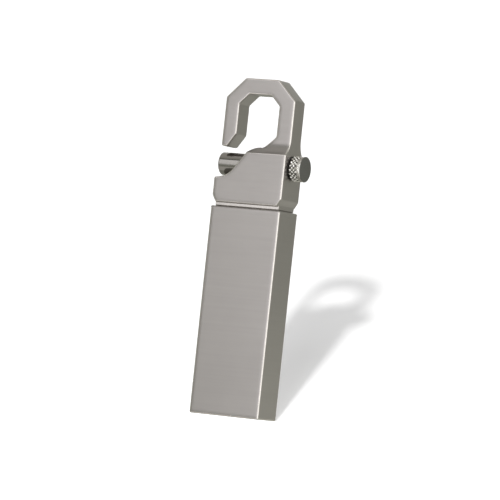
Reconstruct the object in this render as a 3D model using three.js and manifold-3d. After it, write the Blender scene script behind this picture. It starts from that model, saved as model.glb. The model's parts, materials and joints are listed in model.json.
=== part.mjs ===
import * as THREE from 'three';
import { mergeVertices } from 'three/addons/utils/BufferGeometryUtils.js';
import Module from 'manifold-3d';

const wasm = await Module();
wasm.setup();

// A metal-bodied flash drive with a sprung hook, standing on the closed end of its pull-off cap.
// Millimetres. X is the width with the pull knob at +X, Y the depth with the front at -Y, Z the length.
// The origin is the centre of the cap's flat end.

// Cap
const capHeight = 41.6;
const capWall = 0.9;
const capFloor = 1.0;
const capRimRadius = 0.35;
const capCavityCorner = 0.5;
const linerHeight = 13.0;
const linerSideWall = 0.67;
const linerFaceWall = 0.72;
const linerClearance = 0.05;
const plugClearance = 0.08;

// Neck, the groove between cap and head
const neckHeight = 0.8;
const neckInset = 0.62;

// Head block
const headHeight = 10.25;
const headChamferWidth = 0.8;
const headChamferHeight = 1.35;
const shoulderHeight = 4.95;
const shoulderSlope = 8;
const shoulderRadius = 0.4;

// Hook
const hookTotalHeight = 25.2;
const hookThickness = 4.7;
const hookBlendRadius = 4.0;
const hookOuterChamfer = 4.0;
const hookTopBar = 3.2;
const hookFreeLeg = 3.05;
const hookMainLeg = 3.35;
const windowTopChamfer = 2.05;
const windowSillChamfer = 2.4;
const noseHeight = 11.3;
const noseFlat = 1.25;
const noseBevelHeight = 2.55;

// Mouth, the hollow that the gate crosses
const mouthTopHeight = 11.45;
const mouthSlope = 52.2;
const mouthEdge = 0.18;
const mouthCrestRadius = 3.6;
const mouthRootRadius = 4.5;
const mouthClearance = 0.5;

// Gate: plunger, spring and knob on one cross axis
const gateAxisHeight = 7.9;
const plungerRadius = 2.3;
const plungerOverhang = 0.45;
const plungerEndChamfer = 0.15;
const gateTravel = 4.5;
const boreClearance = 0.15;
const boreEndWall = 1.5;
const stemRadius = 1.0;
const stemClearance = 0.1;
const knobRadius = 2.55;
const knobLength = 2.6;
const knobGap = 0.1;
const knobChamfer = 0.18;
const knobEndWall = 0.75;
const knobBoreClearance = 0.05;
const knurlFlutes = 28;
const knurlDepth = 0.14;
const springWire = 0.34;
const springTurns = 6;
const springEndTurns = 1;
const springClosedPitch = 1.15;
const springSideClearance = 0.2;
const springSeatClearance = 0.06;
const springReserve = 0.3;

// Plug, to the standard sizes of its kind
const plugWidth = 12.0;
const plugThickness = 4.5;
const plugLength = 18.5;
const plugReach = 12.5;
const plugWall = 0.3;
const plugCorner = 0.4;
const plugTipGap = 1.0;
const latchWidth = 2.5;
const latchLength = 2.0;
const latchFromTip = 5.16;
const latchFromMiddle = 2.85;
const tongueClearance = 0.05;
const tongueRecess = 0.3;
const contactOuterX = 3.5;
const contactInnerX = 1.0;
const outerContactFromTip = 1.2;
const innerContactFromTip = 2.2;
const contactWidth = 1.0;
const contactThickness = 0.25;
const contactProud = 0.05;
const contactTail = 2.0;
const contactClearance = 0.05;

// Carrier, two moulded halves that clamp the plug and the board
const carrierClearance = 0.1;
const carrierBoreClearance = 0.05;
const carrierSplitGap = 0.02;
const carrierCorner = 0.4;
const carrierTopGap = 0.05;
const tenonInset = 0.75;
const tenonHeight = 4.4;
const tenonClearance = 0.1;
const snapWidth = 3.0;
const snapLength = 1.0;
const snapHeight = 0.2;
const snapRise = 2.4;
const railWidth = 0.85;

// Board
const boardThickness = 0.8;
const boardEdgeClearance = 0.15;
const boardClearance = 0.05;
const boardEndClearance = 0.3;
const boardCornerRadius = 0.6;
const solderGap = 0.04;

// Board parts, with sizes as [across, thickness, along]
const controllerSide = 6.0;
const controllerThickness = 0.85;
const flashLength = 13.0;
const flashCoverGap = 0.21;
const crystalSize = [3.2, 0.75, 2.5];
const regulatorSize = [2.9, 1.0, 1.5];
const resistorSize = [0.5, 0.35, 1.0];
const capacitorSize = [0.8, 0.8, 1.6];
const railGap = 0.5;

// Fineness of round forms
const roundSides = 32;
const arcSteps = 8;
const wireSides = 6;
const stepsPerTurn = 16;
const mergeTolerance = 1e-4;
const past = 1;

// Places that follow from the sizes. The body is drawn round its plug:
// it is as wide and deep as the plug, the liner's walls and the cap's walls need
const bodyWidth = plugWidth + 2 * (plugClearance + linerSideWall + linerClearance + capWall);
const bodyDepth = plugThickness + 2 * (plugClearance + linerFaceWall + linerClearance + capWall);
const halfWidth = bodyWidth / 2;
const halfDepth = bodyDepth / 2;
const cavityWidth = bodyWidth - 2 * capWall;
const cavityDepth = bodyDepth - 2 * capWall;
const headBase = capHeight + neckHeight;
const gateZ = headBase + gateAxisHeight;
const boreRadius = plungerRadius + boreClearance;
const boreEnd = halfWidth - boreEndWall;
const plungerTip = -halfWidth - plungerOverhang;
const springSolidLength = springTurns * springWire + springReserve;
const plungerBack = boreEnd - gateTravel - springSolidLength;
const knobStart = halfWidth + knobGap;
const knobEnd = knobStart + knobLength;
const stemEnd = knobEnd - knobEndWall - knobBoreClearance;
const plugTipZ = capFloor + plugTipGap;
const plugEndZ = plugTipZ + plugLength;
const carrierBaseZ = plugTipZ + plugReach;
const carrierTopZ = capHeight - carrierTopGap;
const carrierWidth = cavityWidth - 2 * carrierClearance;
const carrierDepth = cavityDepth - 2 * carrierClearance;
const carrierBoreWidth = plugWidth + 2 * carrierBoreClearance;
const carrierBoreDepth = plugThickness + 2 * carrierBoreClearance;
const contactBottomY = contactThickness - contactProud;
const boardFrontY = contactBottomY + contactClearance;
const boardBackY = boardFrontY + boardThickness;
const boardBaseZ = plugEndZ + boardClearance;
const boardTopZ = carrierTopZ - boardEndClearance;
const boardWidth = carrierBoreWidth - 2 * boardEdgeClearance;
const boardLength = boardTopZ - boardBaseZ;
const railInner = carrierBoreWidth / 2 - railWidth;
const partsReach = railInner - railGap;
const flashThickness = carrierBoreDepth / 2 - boardBackY - solderGap - flashCoverGap;
const tenonWidth = carrierWidth - 2 * tenonInset;
const tenonDepth = carrierDepth - 2 * tenonInset;
const tenonTopZ = carrierTopZ + tenonHeight;

// Finishes
const satinNickel = { color: 0xaeaaa6, roughness: 0.42, metalness: 0.9 };
const polishedNickel = { color: 0xb9b5b0, roughness: 0.15, metalness: 1.0 };
const springSteel = { color: 0x9a9a98, roughness: 0.3, metalness: 1.0 };
const plugSteel = { color: 0xc4c5c4, roughness: 0.25, metalness: 1.0 };
const blackPlastic = { color: 0x242427, roughness: 0.6, metalness: 0.0 };
const tonguePlastic = { color: 0xe9e7e0, roughness: 0.5, metalness: 0.0 };
const boardGreen = { color: 0x1d5a3a, roughness: 0.5, metalness: 0.0 };
const chipEpoxy = { color: 0x1c1c1e, roughness: 0.55, metalness: 0.0 };
const contactGold = { color: 0xcfa85a, roughness: 0.25, metalness: 1.0 };
const crystalSteel = { color: 0xbfbfbd, roughness: 0.3, metalness: 1.0 };
const ceramicTan = { color: 0x9c7a55, roughness: 0.5, metalness: 0.0 };
const resistorBlack = { color: 0x17181a, roughness: 0.5, metalness: 0.0 };

// A closed mesh as a solid that can be cut and joined
function solidOf(geometry) {
  const loose = geometry.index ? geometry.toNonIndexed() : geometry.clone();
  loose.deleteAttribute('normal');
  loose.deleteAttribute('uv');
  const merged = mergeVertices(loose, mergeTolerance);
  const corners = merged.index.array;
  const triangles = [];
  for (let i = 0; i < corners.length; i += 3) {
    const [a, b, c] = corners.slice(i, i + 3);
    if (a !== b && b !== c && c !== a) triangles.push(a, b, c);
  }
  return new wasm.Manifold(new wasm.Mesh({
    numProp: 3,
    vertProperties: merged.getAttribute('position').array,
    triVerts: new Uint32Array(triangles),
  }));
}

function geometryOf(solid) {
  const { vertProperties, triVerts } = solid.getMesh();
  const geometry = new THREE.BufferGeometry();
  geometry.setAttribute('position', new THREE.BufferAttribute(vertProperties, 3));
  geometry.setIndex(new THREE.BufferAttribute(triVerts, 1));
  geometry.computeVertexNormals();
  return geometry;
}

// An outline through corners given as [across, up, radius], with each radius as a tangent arc
function outline(corners) {
  const shape = new THREE.Shape();
  const count = corners.length;
  const cornerAt = (i) => new THREE.Vector2(...corners[(i + count) % count].slice(0, 2));
  corners.forEach(([x, y, radius = 0], i) => {
    const corner = cornerAt(i);
    const before = cornerAt(i - 1).sub(corner).normalize();
    const after = cornerAt(i + 1).sub(corner).normalize();
    const place = i === 0 ? 'moveTo' : 'lineTo';
    if (radius === 0) {
      shape[place](x, y);
      return;
    }
    const halfAngle = Math.acos(before.dot(after)) / 2;
    const reach = radius / Math.tan(halfAngle);
    const start = corner.clone().addScaledVector(before, reach);
    const end = corner.clone().addScaledVector(after, reach);
    const middle = before.clone().add(after).normalize();
    const centre = corner.clone().addScaledVector(middle, radius / Math.sin(halfAngle));
    const from = start.clone().sub(centre).angle();
    const to = end.clone().sub(centre).angle();
    const clockwise = before.cross(after) > 0;
    shape[place](start.x, start.y);
    shape.absarc(centre.x, centre.y, radius, from, to, clockwise);
  });
  shape.closePath();
  return shape;
}

function rectangle(width, height, radius = 0) {
  const [x, y] = [width / 2, height / 2];
  return outline([[-x, -y, radius], [x, -y, radius], [x, y, radius], [-x, y, radius]]);
}

function extrude(shape, depth) {
  return new THREE.ExtrudeGeometry(shape, { depth, bevelEnabled: false, curveSegments: arcSteps });
}

// Prisms along each axis: the outline is drawn in (X, Y), (X, Z) or (Y, Z)
function prismZ(shape, from, to) {
  return solidOf(extrude(shape, to - from).translate(0, 0, from));
}

function prismY(shape, from, to) {
  return solidOf(extrude(shape, to - from).rotateX(Math.PI / 2).translate(0, to, 0));
}

function prismX(shape, from, to) {
  const basis = new THREE.Matrix4().makeBasis(
    new THREE.Vector3(0, 1, 0),
    new THREE.Vector3(0, 0, 1),
    new THREE.Vector3(1, 0, 0),
  );
  return solidOf(extrude(shape, to - from).applyMatrix4(basis).translate(from, 0, 0));
}

function block(low, high) {
  const size = high.map((value, i) => value - low[i]);
  const centre = high.map((value, i) => (value + low[i]) / 2);
  return solidOf(new THREE.BoxGeometry(...size).translate(...centre));
}

// A solid of revolution about X, from a profile of [along, radius] points
function turnedX(profile) {
  const points = profile.map(([along, radius]) => new THREE.Vector2(radius, along));
  return new THREE.LatheGeometry(points, roundSides).rotateZ(-Math.PI / 2);
}

function piece(name, shape, finish) {
  const geometry = shape.isBufferGeometry ? shape : geometryOf(shape);
  const mesh = new THREE.Mesh(geometry, new THREE.MeshStandardMaterial(finish));
  mesh.name = name;
  return mesh;
}

// Cap: a deep tray with a softened rim
function capShell() {
  const frontView = outline([
    [-halfWidth, 0],
    [halfWidth, 0],
    [halfWidth, capHeight, capRimRadius],
    [-halfWidth, capHeight, capRimRadius],
  ]);
  const sideView = outline([
    [-halfDepth, 0],
    [halfDepth, 0],
    [halfDepth, capHeight, capRimRadius],
    [-halfDepth, capHeight, capRimRadius],
  ]);
  const outside = prismY(frontView, -halfDepth, halfDepth)
    .intersect(prismX(sideView, -halfWidth, halfWidth));
  const cavity = prismZ(rectangle(cavityWidth, cavityDepth, capCavityCorner), capFloor, capHeight + past);
  return outside.subtract(cavity);
}

// Liner: the moulded sleeve at the bottom of the cap that grips the plug
function capLiner() {
  const outside = rectangle(
    cavityWidth - 2 * linerClearance,
    cavityDepth - 2 * linerClearance,
    capCavityCorner,
  );
  const socket = rectangle(plugWidth + 2 * plugClearance, plugThickness + 2 * plugClearance, plugCorner);
  const top = capFloor + linerHeight;
  return prismZ(outside, capFloor, top).subtract(prismZ(socket, capFloor - past, top + past));
}

// The casting's outline in front view: block, hook and mouth in one closed line
function castingOutline() {
  const radians = THREE.MathUtils.degToRad;
  const chamferTop = headBase + headChamferHeight;
  const hookTop = headBase + hookTotalHeight;
  const windowTop = hookTop - hookTopBar;
  const windowLeft = -halfWidth + hookFreeLeg;
  const windowRight = halfWidth - hookMainLeg;
  const noseBottom = headBase + noseHeight;
  const mouthTop = headBase + mouthTopHeight;
  const shoulder = headBase + shoulderHeight;
  const rise = Math.tan(radians(mouthSlope));
  const lean = Math.tan(radians(shoulderSlope));
  const rootX = (mouthTop - shoulder + mouthEdge * rise - halfWidth * lean) / (lean - rise);
  const rootZ = shoulder + (rootX + halfWidth) * lean;
  return outline([
    [-halfWidth + headChamferWidth, headBase],
    [halfWidth - headChamferWidth, headBase],
    [halfWidth, chamferTop],
    [halfWidth, hookTop - hookOuterChamfer],
    [halfWidth - hookOuterChamfer, hookTop],
    [-halfWidth + hookOuterChamfer, hookTop],
    [-halfWidth, hookTop - hookOuterChamfer],
    [-halfWidth, noseBottom, shoulderRadius],
    [-halfWidth + noseFlat, noseBottom],
    [windowLeft, noseBottom + noseBevelHeight],
    [windowLeft, windowTop - windowTopChamfer],
    [windowLeft + windowTopChamfer, windowTop],
    [windowRight - windowTopChamfer, windowTop],
    [windowRight, windowTop - windowTopChamfer],
    [windowRight, mouthTop + windowSillChamfer],
    [windowRight - windowSillChamfer, mouthTop],
    [-mouthEdge, mouthTop, mouthCrestRadius],
    [rootX, rootZ, mouthRootRadius],
    [-halfWidth, shoulder, shoulderRadius],
    [-halfWidth, chamferTop],
  ]);
}

// What is cut from the casting's front or back to thin the block into the hook, with a hollow blend
function hookRelief(side) {
  const face = hookThickness / 2;
  const centreY = face + hookBlendRadius;
  const drop = Math.sqrt(hookBlendRadius ** 2 - (centreY - halfDepth) ** 2);
  const centreZ = headBase + headHeight + drop;
  const startAngle = Math.atan2(-drop, halfDepth - centreY);
  const relief = new THREE.Shape();
  relief.moveTo(halfDepth + past, centreZ - drop);
  relief.lineTo(halfDepth, centreZ - drop);
  relief.absarc(centreY, centreZ, hookBlendRadius, startAngle, -Math.PI, true);
  relief.lineTo(face, headBase + hookTotalHeight + past);
  relief.lineTo(halfDepth + past, headBase + hookTotalHeight + past);
  relief.closePath();
  const cutter = prismX(relief, -halfWidth - past, halfWidth + past);
  return side > 0 ? cutter : cutter.mirror([0, 1, 0]);
}

// What is cut beside the free leg, so that the nose stays as thin as the hook down to its tip
function noseRelief(side) {
  const face = hookThickness / 2;
  const ys = [side * face, side * (halfDepth + past)].sort((a, b) => a - b);
  const legEdge = -halfWidth + hookFreeLeg + mouthClearance;
  const bottom = headBase + noseHeight - mouthClearance;
  return block([-halfWidth - past, ys[0], bottom], [legEdge, ys[1], headBase + hookTotalHeight]);
}

// Snaps of the carrier's tenon, and with a clearance the recesses that they click into
function tenonSnaps(clearance) {
  const bottom = carrierTopZ + snapRise - clearance;
  const top = bottom + snapLength + 2 * clearance;
  const reach = tenonDepth / 2 + snapHeight + clearance;
  const across = snapWidth / 2 + clearance;
  return block([-across, -reach, bottom], [across, reach, top]);
}

// Head and hook: one casting with the neck, the carrier's socket and the gate's stepped bore
function hookHead() {
  const neckOutline = rectangle(bodyWidth - 2 * neckInset, bodyDepth - 2 * neckInset);
  const socket = rectangle(tenonWidth + 2 * tenonClearance, tenonDepth + 2 * tenonClearance);
  const bore = solidOf(turnedX([
    [plungerTip, 0],
    [plungerTip, boreRadius],
    [boreEnd, boreRadius],
    [boreEnd, stemRadius + stemClearance],
    [halfWidth + past, stemRadius + stemClearance],
    [halfWidth + past, 0],
  ])).translate([0, 0, gateZ]);
  return prismY(castingOutline(), -halfDepth, halfDepth)
    .subtract(hookRelief(1))
    .subtract(hookRelief(-1))
    .subtract(noseRelief(1))
    .subtract(noseRelief(-1))
    .add(prismZ(neckOutline, capHeight, headBase + past))
    .subtract(prismZ(socket, capHeight - past, tenonTopZ + tenonClearance))
    .subtract(tenonSnaps(tenonClearance))
    .subtract(bore);
}

// Gate pin: the plunger that closes the hook's mouth, with the stem that the knob is fixed on
function gatePlunger() {
  return turnedX([
    [plungerTip, 0],
    [plungerTip, plungerRadius - plungerEndChamfer],
    [plungerTip + plungerEndChamfer, plungerRadius],
    [plungerBack, plungerRadius],
    [plungerBack, stemRadius],
    [stemEnd, stemRadius],
    [stemEnd, 0],
  ]);
}

// Pull knob: a short drum with a fluted rim and a blind bore for the stem
function pullKnob() {
  const flutes = [];
  for (let i = 0; i < 2 * knurlFlutes; i += 1) {
    const angle = Math.PI * i / knurlFlutes;
    const radius = i % 2 === 0 ? knobRadius : knobRadius - knurlDepth;
    flutes.push([radius * Math.cos(angle), radius * Math.sin(angle)]);
  }
  const drum = solidOf(turnedX([
    [knobStart, 0],
    [knobStart, knobRadius - knobChamfer],
    [knobStart + knobChamfer, knobRadius],
    [knobEnd - knobChamfer, knobRadius],
    [knobEnd, knobRadius - knobChamfer],
    [knobEnd, 0],
  ]));
  const boreDepth = stemEnd + knobBoreClearance;
  const bore = solidOf(turnedX([
    [knobStart - past, 0],
    [knobStart - past, stemRadius + knobBoreClearance],
    [boreDepth, stemRadius + knobBoreClearance],
    [boreDepth, 0],
  ]));
  return prismX(outline(flutes), knobStart, knobEnd).intersect(drum).subtract(bore);
}

// The spring's centre line: open turns between closed end turns, along X
class SpringLine extends THREE.Curve {
  constructor(start, end, radius) {
    super();
    this.start = start;
    this.end = end;
    this.radius = radius;
  }

  getPoint(t, target = new THREE.Vector3()) {
    const turn = t * springTurns;
    const openTurns = springTurns - 2 * springEndTurns;
    const endPitch = springWire * springClosedPitch;
    const openPitch = (this.end - this.start - 2 * springEndTurns * endPitch) / openTurns;
    const opened = THREE.MathUtils.clamp(turn - springEndTurns, 0, openTurns);
    const along = this.start + opened * openPitch + (turn - opened) * endPitch;
    const angle = 2 * Math.PI * turn;
    return target.set(along, this.radius * Math.cos(angle), this.radius * Math.sin(angle));
  }
}

function plungerSpring() {
  const inset = springWire / 2 + springSeatClearance;
  const coilRadius = boreRadius - springSideClearance - springWire / 2;
  const line = new SpringLine(plungerBack + inset, boreEnd - inset, coilRadius);
  const section = new THREE.Shape();
  for (let i = 0; i < wireSides; i += 1) {
    const angle = 2 * Math.PI * i / wireSides;
    const place = i === 0 ? 'moveTo' : 'lineTo';
    section[place](springWire / 2 * Math.cos(angle), springWire / 2 * Math.sin(angle));
  }
  section.closePath();
  return new THREE.ExtrudeGeometry(section, {
    steps: springTurns * stepsPerTurn,
    bevelEnabled: false,
    extrudePath: line,
  });
}

// Plug shell: a folded steel sleeve with two latch windows in each broad side
function plugShell() {
  const outside = prismZ(rectangle(plugWidth, plugThickness, plugCorner), plugTipZ, plugEndZ);
  const inner = rectangle(plugWidth - 2 * plugWall, plugThickness - 2 * plugWall, plugCorner - plugWall / 2);
  let shell = outside.subtract(prismZ(inner, plugTipZ - past, plugEndZ + past));
  for (const side of [-1, 1]) {
    const x = side * latchFromMiddle;
    const z = plugTipZ + latchFromTip;
    shell = shell.subtract(block(
      [x - latchWidth / 2, -plugThickness, z - latchLength / 2],
      [x + latchWidth / 2, plugThickness, z + latchLength / 2],
    ));
  }
  return shell;
}

// The four contacts across the plug: outer ones start nearer the tip, as they must touch first
const contacts = [
  { name: 'contact_power', x: contactOuterX, fromTip: outerContactFromTip },
  { name: 'contact_data_minus', x: contactInnerX, fromTip: innerContactFromTip },
  { name: 'contact_data_plus', x: -contactInnerX, fromTip: innerContactFromTip },
  { name: 'contact_ground', x: -contactOuterX, fromTip: outerContactFromTip },
];

function contactStrip({ x, fromTip }) {
  const start = plugTipZ + fromTip;
  const end = boardBaseZ + contactTail;
  const profile = outline([
    [-contactProud, start + contactThickness],
    [contactBottomY, start],
    [contactBottomY, end],
    [-contactProud, end],
  ]);
  return prismX(profile, x - contactWidth / 2, x + contactWidth / 2);
}

// Plug insulator: the tongue under the contacts and the solid block behind it
function plugInsulator() {
  const x = plugWidth / 2 - plugWall - tongueClearance;
  const y = plugThickness / 2 - plugWall - tongueClearance;
  const profile = outline([
    [0, plugTipZ + tongueRecess],
    [y, plugTipZ + tongueRecess],
    [y, plugEndZ],
    [-y, plugEndZ],
    [-y, carrierBaseZ],
    [0, carrierBaseZ],
  ]);
  const within = prismZ(rectangle(2 * x, 2 * y, plugCorner - plugWall / 2), plugTipZ, plugEndZ);
  let insulator = prismX(profile, -x, x).intersect(within);
  for (const { x: middle, fromTip } of contacts) {
    const across = contactWidth / 2 + contactClearance;
    insulator = insulator.subtract(block(
      [middle - across, -contactProud - contactClearance, plugTipZ + fromTip - contactClearance],
      [middle + across, contactBottomY + contactClearance, plugEndZ + past],
    ));
  }
  return insulator;
}

// One half of the carrier, split at the board's front face; side is -1 in front and 1 behind
function carrierHalf(side) {
  const sleeve = prismZ(rectangle(carrierWidth, carrierDepth, carrierCorner), carrierBaseZ, carrierTopZ);
  const hollow = prismZ(
    rectangle(carrierBoreWidth, carrierBoreDepth),
    carrierBaseZ - past,
    boardTopZ + boardClearance,
  );
  const tenon = prismZ(rectangle(tenonWidth, tenonDepth), boardTopZ + boardClearance, tenonTopZ);
  const railFace = side < 0 ? boardFrontY - boardClearance : boardBackY + boardClearance;
  const railBack = side * carrierBoreDepth / 2;
  let half = sleeve.subtract(hollow).add(tenon).add(tenonSnaps(0));
  for (const edge of [-1, 1]) {
    const xs = [edge * railInner, edge * carrierWidth / 2 - edge * carrierCorner].sort((a, b) => a - b);
    const ys = [railFace, railBack + side * carrierBoreClearance].sort((a, b) => a - b);
    half = half.add(block([xs[0], ys[0], boardBaseZ], [xs[1], ys[1], boardTopZ]));
  }
  const splitY = boardFrontY - boardClearance + side * carrierSplitGap;
  const far = side * bodyDepth;
  const keep = block(
    [-bodyWidth, Math.min(splitY, far), carrierBaseZ - past],
    [bodyWidth, Math.max(splitY, far), tenonTopZ + past],
  );
  return half.intersect(keep);
}

function circuitBoard() {
  return prismY(
    outline([
      [-boardWidth / 2, boardBaseZ],
      [boardWidth / 2, boardBaseZ],
      [boardWidth / 2, boardTopZ, boardCornerRadius],
      [-boardWidth / 2, boardTopZ, boardCornerRadius],
    ]),
    boardFrontY,
    boardBackY,
  );
}

// What is soldered to the board: side is -1 in front and 1 behind, share is the place along the board
const flashSize = [2 * partsReach, flashThickness, flashLength];
const controllerSize = [controllerSide, controllerThickness, controllerSide];
const crystalX = partsReach / 2;
const capacitorX = partsReach - capacitorSize[0] / 2;
const resistorX = controllerSide / 3;
const flatResistor = [...resistorSize].reverse();
const flatCapacitor = [...capacitorSize].reverse();
const boardParts = [
  { name: 'controller_chip', side: -1, x: 0, share: 0.36, size: controllerSize, finish: chipEpoxy },
  { name: 'flash_memory_chip', side: 1, x: 0, share: 0.54, size: flashSize, finish: chipEpoxy },
  { name: 'crystal_can', side: -1, x: -crystalX, share: 0.66, size: crystalSize, finish: crystalSteel },
  { name: 'voltage_regulator', side: -1, x: crystalX, share: 0.65, size: regulatorSize, finish: chipEpoxy },
  { name: 'resistor_1', side: -1, x: -resistorX, share: 0.15, size: flatResistor, finish: resistorBlack },
  { name: 'resistor_2', side: -1, x: resistorX, share: 0.15, size: flatResistor, finish: resistorBlack },
  { name: 'resistor_3', side: -1, x: capacitorX, share: 0.435, size: resistorSize, finish: resistorBlack },
  { name: 'capacitor_1', side: -1, x: -capacitorX, share: 0.29, size: capacitorSize, finish: ceramicTan },
  { name: 'capacitor_2', side: -1, x: -capacitorX, share: 0.435, size: capacitorSize, finish: ceramicTan },
  { name: 'capacitor_3', side: -1, x: capacitorX, share: 0.29, size: capacitorSize, finish: ceramicTan },
  { name: 'capacitor_4', side: -1, x: 0, share: 0.82, size: flatCapacitor, finish: ceramicTan },
];

function boardPart({ name, side, x, share, size, finish }) {
  const [width, thickness, length] = size;
  const seatY = side < 0 ? boardFrontY - solderGap : boardBackY + solderGap;
  const mesh = piece(name, new THREE.BoxGeometry(width, thickness, length), finish);
  mesh.position.set(x, seatY + side * thickness / 2, boardBaseZ + share * boardLength);
  return mesh;
}

const cap = new THREE.Group();
cap.add(
  piece('cap_shell', capShell(), satinNickel),
  piece('cap_liner', capLiner(), blackPlastic),
);

const drive = new THREE.Group();
drive.add(
  piece('hook_head', hookHead(), satinNickel),
  piece('carrier_front', carrierHalf(-1), blackPlastic),
  piece('carrier_rear', carrierHalf(1), blackPlastic),
  piece('usb_plug_shell', plugShell(), plugSteel),
  piece('plug_insulator', plugInsulator(), tonguePlastic),
  piece('circuit_board', circuitBoard(), boardGreen),
);
for (const contact of contacts) {
  drive.add(piece(contact.name, contactStrip(contact), contactGold));
}
for (const part of boardParts) {
  drive.add(boardPart(part));
}

const gate = new THREE.Group();
gate.position.z = gateZ;
gate.add(
  piece('gate_plunger', gatePlunger(), polishedNickel),
  piece('pull_knob', pullKnob(), polishedNickel),
  piece('plunger_spring', plungerSpring(), springSteel),
);

const flashDrive = new THREE.Group();
flashDrive.add(cap, drive, gate);

export default flashDrive;
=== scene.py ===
"""Looks of a metal flash drive with a sprung hook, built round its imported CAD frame.

The drive stands on the closed end of its cap. Its finishes are satin nickel over die-cast zinc, polished
nickel on the gate pin, a knurled pull knob, and steel, gold and moulded plastic inside the cap.
Every size is in metres and every colour is linear.
"""
import json
import math

import bmesh
import bpy
from mathutils import Matrix, Quaternion, Vector

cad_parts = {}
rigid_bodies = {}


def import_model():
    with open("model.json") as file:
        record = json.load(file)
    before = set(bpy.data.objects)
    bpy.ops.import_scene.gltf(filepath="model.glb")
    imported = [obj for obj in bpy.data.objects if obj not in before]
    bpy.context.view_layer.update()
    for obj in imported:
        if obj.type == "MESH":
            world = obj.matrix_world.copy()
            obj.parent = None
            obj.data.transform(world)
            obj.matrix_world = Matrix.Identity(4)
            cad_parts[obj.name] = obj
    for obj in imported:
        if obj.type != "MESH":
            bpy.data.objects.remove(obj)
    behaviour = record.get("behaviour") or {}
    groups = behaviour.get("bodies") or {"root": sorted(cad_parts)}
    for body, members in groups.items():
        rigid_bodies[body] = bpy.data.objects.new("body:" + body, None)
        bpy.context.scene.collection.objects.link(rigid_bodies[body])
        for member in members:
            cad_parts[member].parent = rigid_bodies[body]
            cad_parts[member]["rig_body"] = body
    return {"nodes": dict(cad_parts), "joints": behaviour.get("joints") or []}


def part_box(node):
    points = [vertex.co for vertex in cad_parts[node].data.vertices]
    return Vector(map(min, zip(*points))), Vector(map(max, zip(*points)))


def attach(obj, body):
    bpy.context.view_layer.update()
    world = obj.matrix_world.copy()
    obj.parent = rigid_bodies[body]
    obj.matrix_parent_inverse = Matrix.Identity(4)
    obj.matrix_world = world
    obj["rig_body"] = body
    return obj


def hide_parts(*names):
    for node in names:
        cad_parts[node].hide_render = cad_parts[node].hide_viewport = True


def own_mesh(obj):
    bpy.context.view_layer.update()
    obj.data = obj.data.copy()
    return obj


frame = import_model()

bl_info = {
    "name": "Hook Flash Drive",
    "version": (1, 0, 0),
    "blender": (4, 5, 0),
    "location": "View3D > Sidebar > Flash Drive",
    "description": "Finishes a metal flash drive with a sprung hook, piece by piece",
    "category": "Object",
}

MM = 0.001

# Places that the frame gives
PIN_LOW, PIN_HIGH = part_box("gate_plunger")
KNOB_LOW, KNOB_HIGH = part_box("pull_knob")
SPRING_LOW, SPRING_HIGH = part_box("plunger_spring")
GATE_AXIS = (KNOB_LOW.z + KNOB_HIGH.z) / 2
KNOB_RADIUS = (KNOB_HIGH.z - KNOB_LOW.z) / 2
PIN_RADIUS = (PIN_HIGH.z - PIN_LOW.z) / 2
NECK_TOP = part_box("cap_shell")[1].z + 0.85 * MM
GATE_JOINT = next(joint for joint in frame["joints"] if joint["name"] == "gate_slide")
SPRING_SEAT = GATE_JOINT["deforming_nodes"][0]["fixed_end_x_m"]
GATE_TRAVEL = GATE_JOINT["range_m"][1]

# Rounding of edges: an edge sharper than SHARP is rounded, faces within FLAT of each other are made one,
# CROSSING is the sine from which one edge counts as running across another, and ROUNDING_ROOM is the
# largest share of the face beside it that a rounding takes
SHARP = math.radians(24)
FLAT = math.radians(0.4)
CROSSING = 0.5
ROUNDING_ROOM = 0.4

# Turned and grown shapes
TURNED_SHARP = math.radians(35)
PIN_SIDES = 128
KNOB_SIDES = 96
KNURL_SEED = 7
WIRE_SIDES = 12
WIRE_STEPS_PER_TURN = 32

# Stage: the camera and the lamps look at AIM, which lies AIM_RIGHT and AIM_UP from the picture's middle,
# SWEEP_FOOT is where the sweep begins to rise, just behind the cap, and KEY_TRAVEL is the way that the key
# lamp's light goes
AIM = Vector((0, 0, 35 * MM))
SWEEP_REACH = 1.5
SWEEP_FOOT = 4.04 * MM
TENT_RADIUS = 0.6
KEY_TRAVEL = Vector((0.0264, 1.2769, -1.0))
PICTURE_PIXELS = 500
FOCAL_PIXELS = 4008.9
AIM_RIGHT = 0.157 * MM
AIM_UP = 1.529 * MM


# Settings

def colour_setting(name, description, default):
    """A colour."""
    return bpy.props.FloatVectorProperty(
        name=name, description=description, subtype="COLOR", min=0, max=1, default=default)


def share_setting(name, description, default, low=0, high=1):
    """A share from 0 to 1."""
    return bpy.props.FloatProperty(
        name=name, description=description, subtype="FACTOR", min=low, max=high, default=default)


def length_setting(name, description, default, high, low=0):
    """A length, shown to a hundredth of a millimetre."""
    return bpy.props.FloatProperty(
        name=name, description=description, unit="LENGTH", precision=5, min=low, max=high, default=default)


def angle_setting(name, description, degrees):
    """An angle."""
    return bpy.props.FloatProperty(
        name=name, description=description, subtype="ANGLE", default=math.radians(degrees))


def strength_setting(name, description, default):
    """The strength of a light."""
    return bpy.props.FloatProperty(name=name, description=description, min=0, default=default)


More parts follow.
